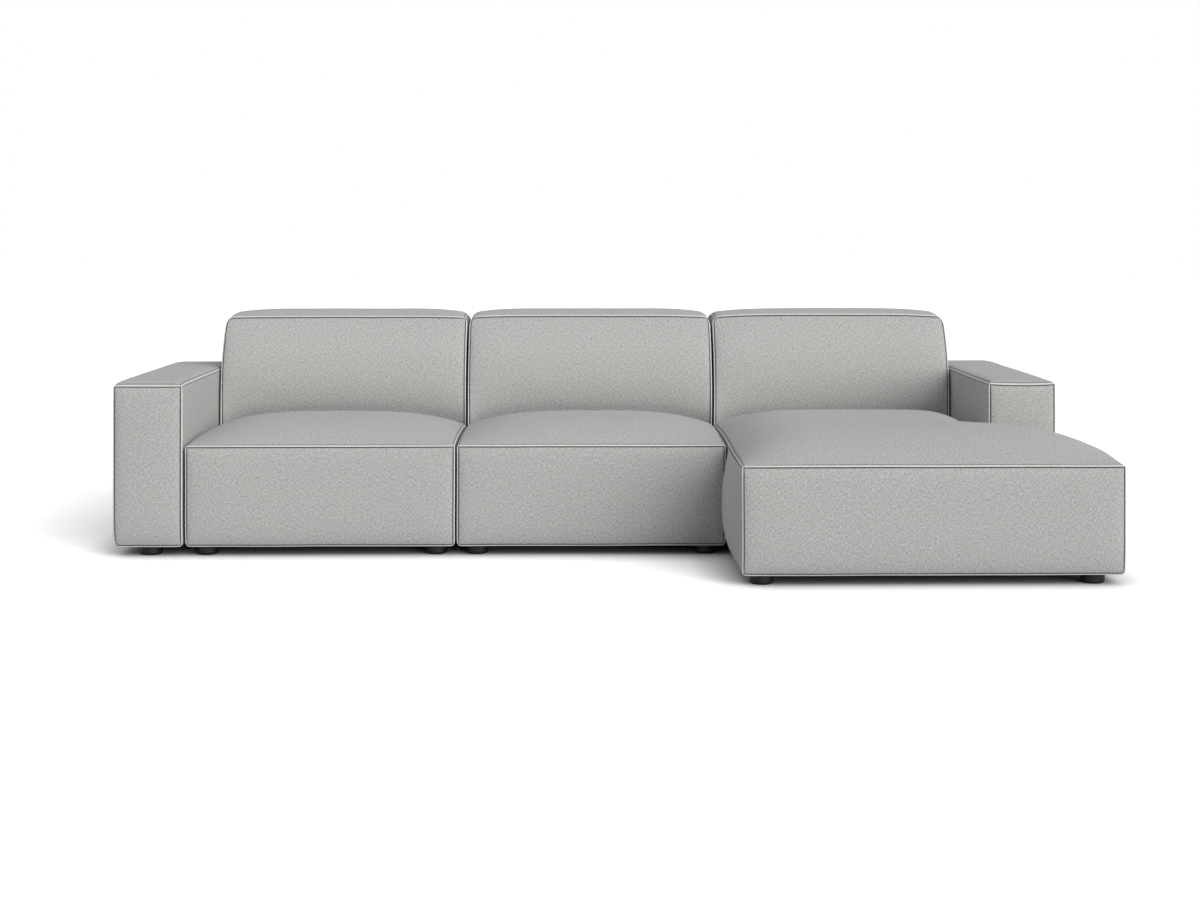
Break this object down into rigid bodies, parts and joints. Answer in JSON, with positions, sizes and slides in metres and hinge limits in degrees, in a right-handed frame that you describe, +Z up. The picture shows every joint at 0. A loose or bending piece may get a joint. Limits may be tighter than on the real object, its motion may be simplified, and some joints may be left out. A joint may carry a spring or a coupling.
{
  "type": "modular corner sofa",
  "caption": "Modular corner sofa in pale grey woven fabric, with low arms, leaning backs, crowned seats and a wide chaise at the right end.",
  "frame": {"origin": "on the floor, under the middle of the whole sofa's bounding box", "axes": "+X along the row of seats to the sitter's left, which is the chaise end, +Y from the front to the backs, +Z up"},
  "size_m": [3.328, 1.622, 0.805],
  "materials": {
    "fabric": "fine flat weave, matt",
    "foam": "open-cell foam",
    "spring_steel": "drawn wire",
    "clip_plastic": "moulded",
    "frame_wood": "sawn, unfinished",
    "dust_cloth": "non-woven cloth",
    "foot_plastic": "fine grain",
    "zinc_steel": "zinc plated",
    "webbing": "elastic webbing"
  },
  "bodies": {
    "seat_middle": {"seat_middle_cover": "fabric", "seat_middle_foam": "foam", "seat_middle_springs": "spring_steel", "seat_middle_spring_clips": "clip_plastic", "seat_middle_frame": "frame_wood", "seat_middle_dust_cloth": "dust_cloth", "seat_middle_feet": "foot_plastic", "seat_middle_foot_bolts": "zinc_steel", "seat_middle_screws": "zinc_steel", "seat_middle_joining_plates": "zinc_steel", "seat_middle_back_cover": "fabric", "seat_middle_back_foam": "foam", "seat_middle_back_frame": "frame_wood", "seat_middle_back_webbing": "webbing", "seat_middle_connector_tongues": "zinc_steel"},
    "seat_left": {"seat_left_cover": "fabric", "seat_left_foam": "foam", "seat_left_springs": "spring_steel", "seat_left_spring_clips": "clip_plastic", "seat_left_frame": "frame_wood", "seat_left_dust_cloth": "dust_cloth", "seat_left_feet": "foot_plastic", "seat_left_foot_bolts": "zinc_steel", "seat_left_screws": "zinc_steel", "seat_left_joining_plates": "zinc_steel", "seat_left_back_cover": "fabric", "seat_left_back_foam": "foam", "seat_left_back_frame": "frame_wood", "seat_left_back_webbing": "webbing", "seat_left_connector_tongues": "zinc_steel", "seat_left_connector_pins": "zinc_steel"},
    "arm_left": {"arm_left_cover": "fabric", "arm_left_foam": "foam", "arm_left_frame": "frame_wood", "arm_left_dust_cloth": "dust_cloth", "arm_left_feet": "foot_plastic", "arm_left_foot_bolts": "zinc_steel", "arm_left_screws": "zinc_steel", "arm_left_connector_pins": "zinc_steel"},
    "chaise": {"chaise_cover": "fabric", "chaise_foam": "foam", "chaise_springs": "spring_steel", "chaise_spring_clips": "clip_plastic", "chaise_frame": "frame_wood", "chaise_dust_cloth": "dust_cloth", "chaise_feet": "foot_plastic", "chaise_foot_bolts": "zinc_steel", "chaise_screws": "zinc_steel", "chaise_joining_plates": "zinc_steel", "chaise_back_cover": "fabric", "chaise_back_foam": "foam", "chaise_back_frame": "frame_wood", "chaise_back_webbing": "webbing", "chaise_connector_pins": "zinc_steel", "arm_right_cover": "fabric", "arm_right_foam": "foam", "arm_right_frame": "frame_wood", "arm_right_dust_cloth": "dust_cloth"}
  },
  "joints": [
    {"name": "seat_left_lift", "type": "slide", "parent": "seat_middle", "child": "seat_left", "axis": [0, 0, 1], "range_m": [0, 0.12]},
    {"name": "chaise_lift", "type": "slide", "parent": "seat_middle", "child": "chaise", "axis": [0, 0, 1], "range_m": [0, 0.12]},
    {"name": "arm_left_lift", "type": "slide", "parent": "seat_left", "child": "arm_left", "axis": [0, 0, 1], "range_m": [0, 0.12]}
  ]
}
